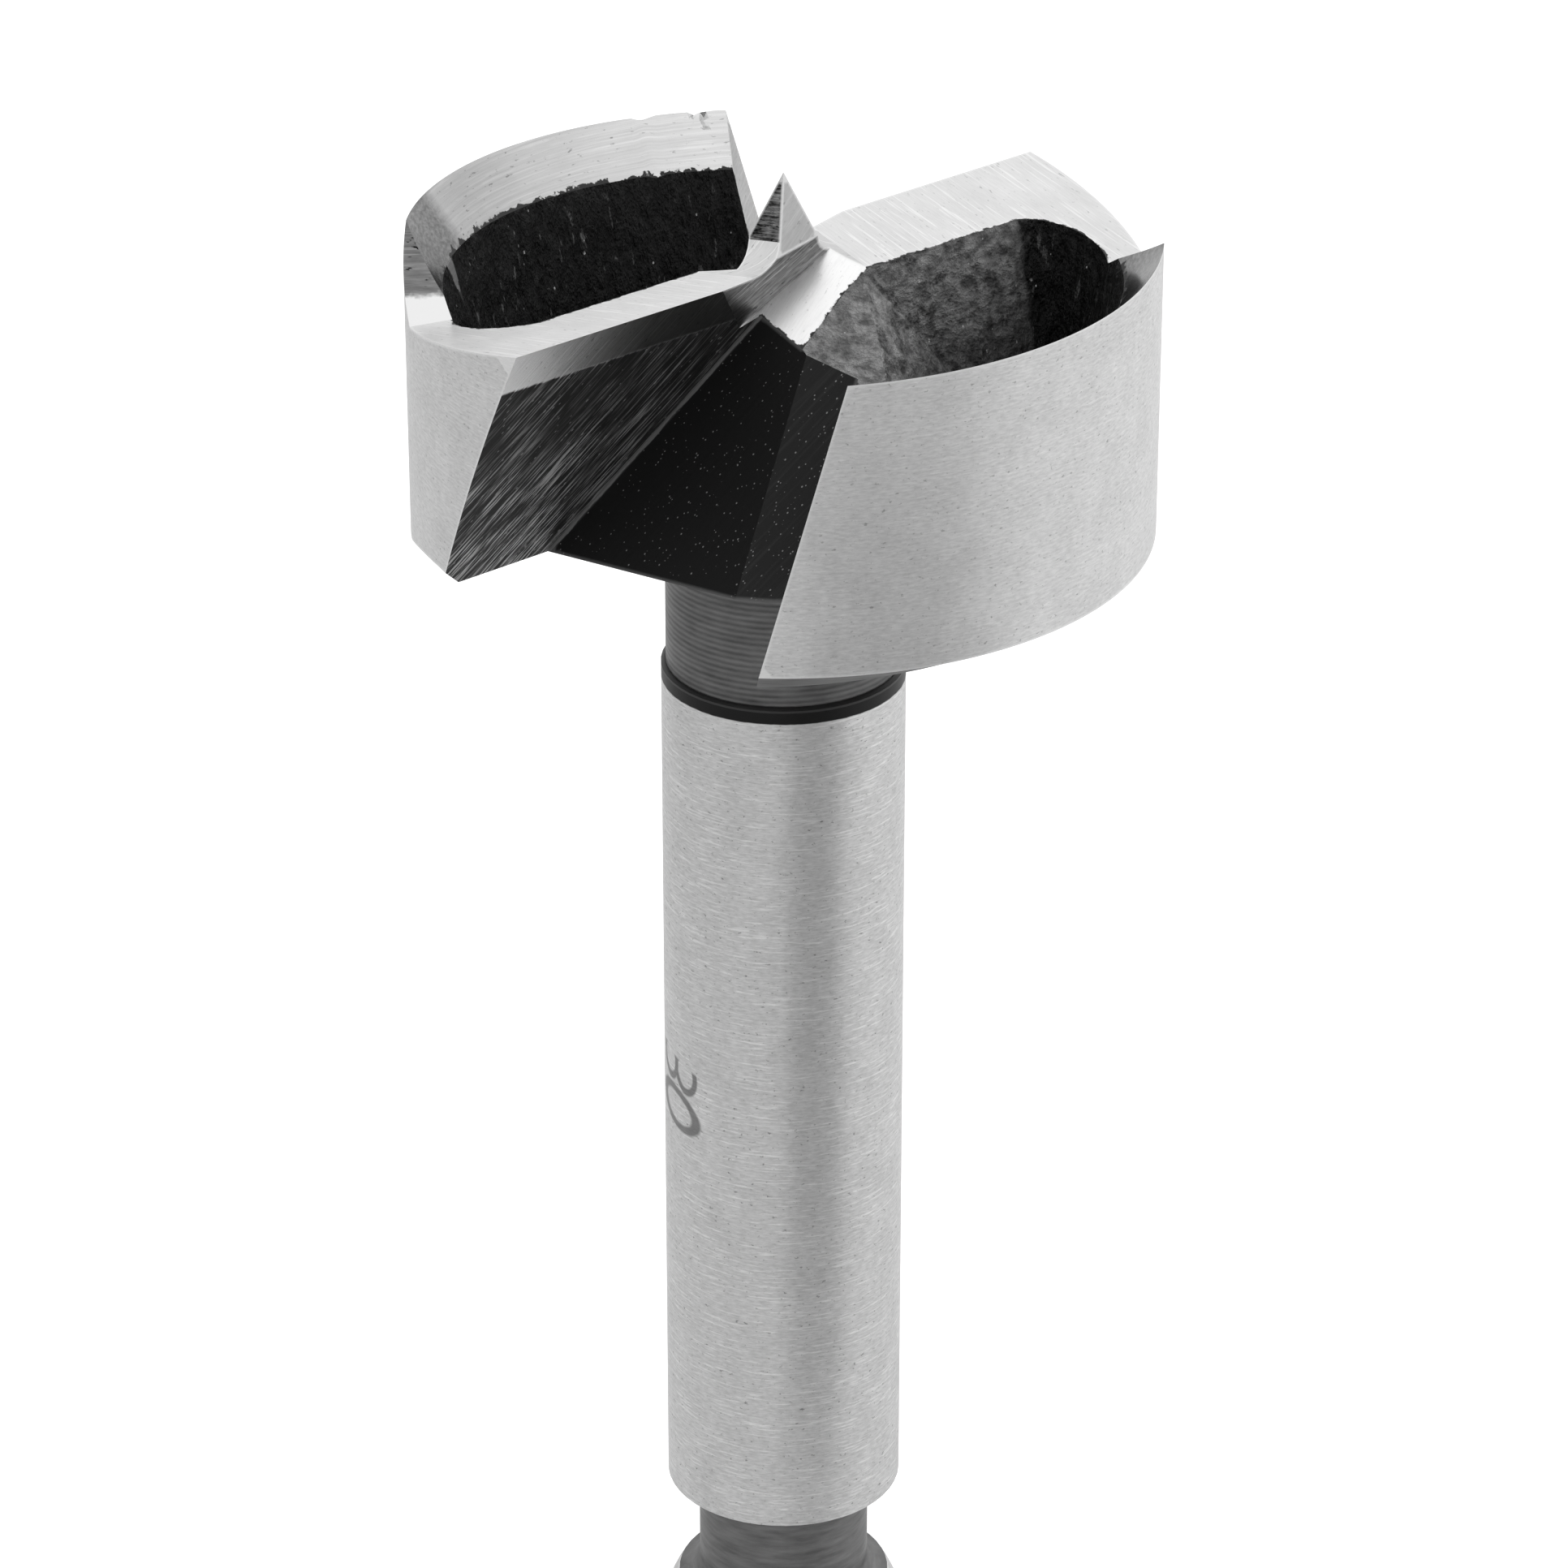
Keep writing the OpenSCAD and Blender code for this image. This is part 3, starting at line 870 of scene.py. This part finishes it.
def materials_by_zone(tones):
    """Material of each zone of the tool, from the tones that the user can set."""
    ground_steel_group()
    ragged_group()
    speck_group()
    common = {"grain": 0.2, "pits": 0.45, "scratches": 0.4, "ragged": 0.2}
    dark = dark_material("dark steel", tones.groove, metal=0.8, roughness=0.45)
    oxide = pocket_material()
    return {
        "wall": steel_material(
            "ground rim", tones.rim, 0.42, grain=0.5, pits=0.5, scratches=0.12, ragged=0.16, short=True
        ),
        "land": steel_material("ground lands", tones.land, 0.36, **common),
        "web": steel_material("ground web", tones.web, 0.36, **{**common, "grain": 0.3}),
        "hollow": steel_material("ground hollow", tones.hollow, 0.36, **common),
        "point": steel_material(
            "ground point", tones.point, 0.34, grain=0.2, pits=0.3, scratches=0.2, ragged=0.2, bump=0.3
        ),
        "flank": steel_material(
            "stepped flank", tones.flank, 0.4, grain=0.9, pits=0.5, scratches=0.2, ragged=0.1, bump=0.5
        ),
        "end": steel_material("milled steel", tones.end, 0.4, grain=0.3, pits=0.3, scratches=0.3, ragged=0.2),
        "notch": steel_material("notch wall", tones.notch, 0.4, grain=0.5, pits=0.3, scratches=0.6),
        "tail": steel_material(
            "ground tail", tones.tail, 0.42, grain=0.5, pits=0.5, scratches=0.4, short=True
        ),
        "body": shank_material(tones.shank, tones.mark),
        "neck": neck_material(tones.neck),
        "shoulder": dark_material("black band", OXIDE_TONE, metal=0.0, roughness=0.45),
        "gullet": gullet_material("gullet oxide", speck_share=0.3, lines_share=0.0, tone=0.006),
        "heel": gullet_material("heel oxide", speck_share=0.5, lines_share=0.08, tone=0.02),
        "bevel": bevel_material(),
        "spur": spur_material(),
        "hook": hook_material(),
        "pocket": oxide,
        "hub": oxide,
        "under": dark,
        "groove": dark,
    }


def rough_tree():
    """Geometry nodes that pit the unground walls of the pockets, fading out at their borders."""
    tree = bpy.data.node_groups.new("Rough pockets", "GeometryNodeTree")
    face = tree.interface
    face.new_socket(name="Geometry", in_out="INPUT", socket_type="NodeSocketGeometry")
    for label in ("Depth", "Size", "Fade"):
        face.new_socket(name=label, in_out="INPUT", socket_type="NodeSocketFloat")
    face.new_socket(name="Geometry", in_out="OUTPUT", socket_type="NodeSocketGeometry")
    given = tree.nodes.new("NodeGroupInput")
    out = tree.nodes.new("NodeGroupOutput")
    move = tree.nodes.new("GeometryNodeSetPosition")
    real = tree.nodes.new("GeometryNodeRealizeInstances")
    place = tree.nodes.new("GeometryNodeInputPosition")
    normal = tree.nodes.new("GeometryNodeInputNormal")
    inverse = math_node(tree, "DIVIDE", 1.0, given.outputs["Size"])
    times = node_at(tree, "ShaderNodeVectorMath", operation="SCALE")
    tree.links.new(place.outputs[0], times.inputs[0])
    tree.links.new(inverse, times.inputs["Scale"])
    noise = stretched_noise(tree, times.outputs[0], (1.0, 1.0, 0.4), 4.0, 0.6)
    read = []
    for label in ("oxide_gap", "rough"):
        named = node_at(tree, "GeometryNodeInputNamedAttribute", data_type="FLOAT", sockets={"Name": label})
        read.append(named.outputs[0])
    fade = math_node(tree, "DIVIDE", read[0], given.outputs["Fade"], clamp=True)
    amount = math_node(tree, "MULTIPLY", centred(tree, noise), given.outputs["Depth"])
    amount = math_node(tree, "MULTIPLY", math_node(tree, "MULTIPLY", amount, fade), read[1])
    push = node_at(tree, "ShaderNodeVectorMath", operation="SCALE")
    tree.links.new(normal.outputs[0], push.inputs[0])
    tree.links.new(amount, push.inputs["Scale"])
    tree.links.new(given.outputs["Geometry"], move.inputs["Geometry"])
    tree.links.new(push.outputs[0], move.inputs["Offset"])
    tree.links.new(move.outputs[0], real.inputs[0])
    tree.links.new(real.outputs[0], out.inputs[0])
    return tree


def with_nodes(piece, tree, values):
    """Runs a node tree on a piece with its named inputs set, and keeps the result."""
    modifier = piece.modifiers.new(tree.name, "NODES")
    modifier.node_group = tree
    for item in tree.interface.items_tree:
        if item.item_type == "SOCKET" and item.in_out == "INPUT" and item.name in values:
            modifier[item.identifier] = values[item.name]
    graph = bpy.context.evaluated_depsgraph_get()
    made = bpy.data.meshes.new_from_object(piece.evaluated_get(graph))
    piece.modifiers.clear()
    piece.data = made


class BitShape(bpy.types.PropertyGroup):
    """How finely the tool is built and how rough its pockets are."""

    head_step: bpy.props.FloatProperty(
        name="Head step", description="Longest edge on the head", default=0.00045, unit="LENGTH"
    )
    wall_step: bpy.props.FloatProperty(
        name="Wall step", description="Longest edge on the rim's outer wall", default=0.001, unit="LENGTH"
    )
    rough_depth: bpy.props.FloatProperty(
        name="Roughness", description="Height of the lumps in the pockets", default=0.00055, unit="LENGTH"
    )
    rough_size: bpy.props.FloatProperty(
        name="Lump size", description="Size of the lumps in the pockets", default=0.0009, unit="LENGTH"
    )
    rough_fade: bpy.props.FloatProperty(
        name="Fade", description="Distance from the border over which the lumps grow, in mm", default=0.5
    )


def tone_property(name, description, default):
    """Grey tone that a user can change, from 0 for black to 1 for white."""
    return bpy.props.FloatProperty(
        name=name, description=description, default=default, min=0.0, max=1.0, subtype="FACTOR"
    )


class BitFinish(bpy.types.PropertyGroup):
    """Grey tone of each finish of the steel."""

    rim: tone_property("Rim", "Tone of the head's round outer wall", 0.68)
    land: tone_property("Lands", "Tone of the flat ground lands", 0.76)
    web: tone_property("Web", "Tone of the web between the wings", 0.98)
    hollow: tone_property("Hollow", "Tone of the hollow at the foot of the point", 0.64)
    point: tone_property("Point", "Tone of the bright flanks of the centre point", 0.46)
    flank: tone_property("Dark flank", "Tone of the stepped flanks of the centre point", 0.1)
    end: tone_property("Rim end", "Tone of the milled end of the rim", 0.5)
    notch: tone_property("Notch", "Tone of the steep wall beside the web", 0.14)
    shank: tone_property("Shank", "Tone of the shank's ground body", 0.62)
    tail: tone_property("Tail", "Tone of the shank's tail", 0.6)
    neck: tone_property("Neck", "Tone of the turned neck", 0.13)
    groove: tone_property("Groove", "Tone of the relief groove and the head's underside", 0.16)
    mark: tone_property("Size mark", "Tone of the printed size number", 0.1)


class BitStage(bpy.types.PropertyGroup):
    """Studio light and camera."""

    lens: bpy.props.FloatProperty(
        name="Lens", description="Focal length", default=145.56, unit="CAMERA"
    )
    camera_tilt: bpy.props.FloatProperty(
        name="Camera tilt", description="Angle of the view below the horizon", default=math.radians(26.33),
        subtype="ANGLE",
    )
    world: bpy.props.FloatProperty(
        name="Room light", description="Strength of the light from all round", default=0.55
    )
    key: bpy.props.FloatProperty(
        name="Key light", description="Power of the soft light above", default=1.7, unit="POWER"
    )


class BIT_OT_dress(bpy.types.Operator):
    """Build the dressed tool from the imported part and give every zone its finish"""

    bl_idname = "bit.dress"
    bl_label = "Dress the bit"

    def execute(self, context):
        settings = context.scene.bit_shape
        piece = bpy.data.objects.new(PIECE, dressed_mesh(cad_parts[NODE], settings))
        context.scene.collection.objects.link(piece)
        finishes = materials_by_zone(context.scene.bit_finish)
        for zone in ZONES:
            piece.data.materials.append(finishes[zone])
        values = {"Depth": settings.rough_depth, "Size": settings.rough_size}
        values["Fade"] = settings.rough_fade
        with_nodes(piece, rough_tree(), values)
        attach(piece, "root")
        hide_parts(NODE)
        return {"FINISHED"}


def area_light(name, place, size, power):
    """Square soft light at a place, aimed at the tool, that mirror-like rays don't see."""
    light = bpy.data.lights.new(name, "AREA")
    light.energy = power
    light.size = size
    lamp = bpy.data.objects.new(name, light)
    lamp.location = place
    lamp.rotation_euler = (Vector(AIM) - Vector(place)).to_track_quat("-Z", "Y").to_euler()
    lamp.visible_camera = False
    lamp.visible_glossy = False
    bpy.context.scene.collection.objects.link(lamp)


def plate(name, corners, material):
    """Flat four-cornered sheet with one material, for the stage."""
    mesh = bpy.data.meshes.new(name)
    mesh.from_pydata(corners, [], [(0, 1, 2, 3)])
    mesh.materials.append(material)
    sheet = bpy.data.objects.new(name, mesh)
    bpy.context.scene.collection.objects.link(sheet)
    return sheet


def floor_material():
    """Pale floor that keeps the tool's shadow and reads white to the camera."""
    material = bpy.data.materials.new("pale floor")
    material.use_nodes = True
    tree = material.node_tree
    shader = tree.nodes["Principled BSDF"]
    shader.inputs["Base Color"].default_value = (FLOOR_GREY, FLOOR_GREY, FLOOR_GREY, 1)
    shader.inputs["Roughness"].default_value = 0.9
    shader.inputs["Specular IOR Level"].default_value = 0.1
    shader.inputs["Emission Color"].default_value = (1, 1, 1, 1)
    path = node_at(tree, "ShaderNodeLightPath")
    seen = math_node(tree, "MULTIPLY", path.outputs["Is Camera Ray"], FLOOR_GLOW)
    tree.links.new(seen, shader.inputs["Emission Strength"])
    return material


def white_world(strength):
    """Even room light that the camera and mirror-like rays see as plain white."""
    world = bpy.data.worlds.new("white room")
    world.use_nodes = True
    tree = world.node_tree
    back = tree.nodes["Background"]
    back.inputs["Color"].default_value = (1, 1, 1, 1)
    path = node_at(tree, "ShaderNodeLightPath")
    plain = math_node(tree, "MAXIMUM", path.outputs["Is Camera Ray"], path.outputs["Is Glossy Ray"])
    tree.links.new(blend_values(tree, plain, strength, 1.0), back.inputs["Strength"])
    bpy.context.scene.world = world


def grey_card():
    """Upright card that only the steel's reflections see, as the darker band down the shank."""
    material = bpy.data.materials.new("dark card")
    material.use_nodes = True
    shader = material.node_tree.nodes["Principled BSDF"]
    shader.inputs["Base Color"].default_value = (CARD_GREY, CARD_GREY, CARD_GREY, 1)
    foot = [(*CARD_START, 0), (*CARD_END, 0)]
    top = [(*CARD_END, CARD_HIGH), (*CARD_START, CARD_HIGH)]
    card = plate("dark_card", foot + top, material)
    card.visible_camera = False
    card.visible_diffuse = False
    card.visible_shadow = False


class BIT_OT_stage(bpy.types.Operator):
    """Set the floor, the studio light and the camera"""

    bl_idname = "bit.stage"
    bl_label = "Set the stage"

    def execute(self, context):
        settings = context.scene.bit_stage
        scene = context.scene
        half = FLOOR_HALF
        corners = [(-half, -half, 0), (half, -half, 0), (half, half, 0), (-half, half, 0)]
        plate("floor", corners, floor_material())
        white_world(settings.world)
        area_light("key", KEY_AT, KEY_SIZE, settings.key)
        area_light("side", SIDE_AT, SIDE_SIZE, settings.key * SIDE_SHARE)
        grey_card()
        camera = bpy.data.cameras.new("camera")
        camera.lens = settings.lens
        camera.sensor_width = SENSOR
        camera.clip_start = EYE_CLIP
        camera.shift_x = EYE_SHIFT
        eye = bpy.data.objects.new("camera", camera)
        eye.location = EYE
        eye.rotation_euler = (math.pi / 2 - settings.camera_tilt, 0, 0)
        scene.collection.objects.link(eye)
        scene.camera = eye
        scene.view_settings.view_transform = "Standard"
        return {"FINISHED"}


class BIT_PT_panel(bpy.types.Panel):
    """Settings and steps for the forstner bit"""

    bl_idname = "BIT_PT_panel"
    bl_label = "Forstner bit"
    bl_space_type = "VIEW_3D"
    bl_region_type = "UI"
    bl_category = "Bit"

    def draw(self, context):
        layout = self.layout
        scene = context.scene
        groups = {"Shape": scene.bit_shape, "Finish": scene.bit_finish, "Stage": scene.bit_stage}
        for title, group in groups.items():
            layout.label(text=title)
            for name in type(group).__annotations__:
                layout.prop(group, name)
        layout.operator(BIT_OT_dress.bl_idname)
        layout.operator(BIT_OT_stage.bl_idname)


CLASSES = [BitShape, BitFinish, BitStage, BIT_OT_dress, BIT_OT_stage, BIT_PT_panel]


def register():
    """Adds the settings, the operators and the panel."""
    for kind in CLASSES:
        bpy.utils.register_class(kind)
    bpy.types.Scene.bit_shape = bpy.props.PointerProperty(type=BitShape)
    bpy.types.Scene.bit_finish = bpy.props.PointerProperty(type=BitFinish)
    bpy.types.Scene.bit_stage = bpy.props.PointerProperty(type=BitStage)


def unregister():
    """Removes what register added."""
    del bpy.types.Scene.bit_stage
    del bpy.types.Scene.bit_finish
    del bpy.types.Scene.bit_shape
    for kind in reversed(CLASSES):
        bpy.utils.unregister_class(kind)


def main():
    """Builds the whole scene in order."""
    register()
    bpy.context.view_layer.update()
    bpy.ops.bit.dress()
    bpy.ops.bit.stage()


if __name__ == "__main__":
    main()
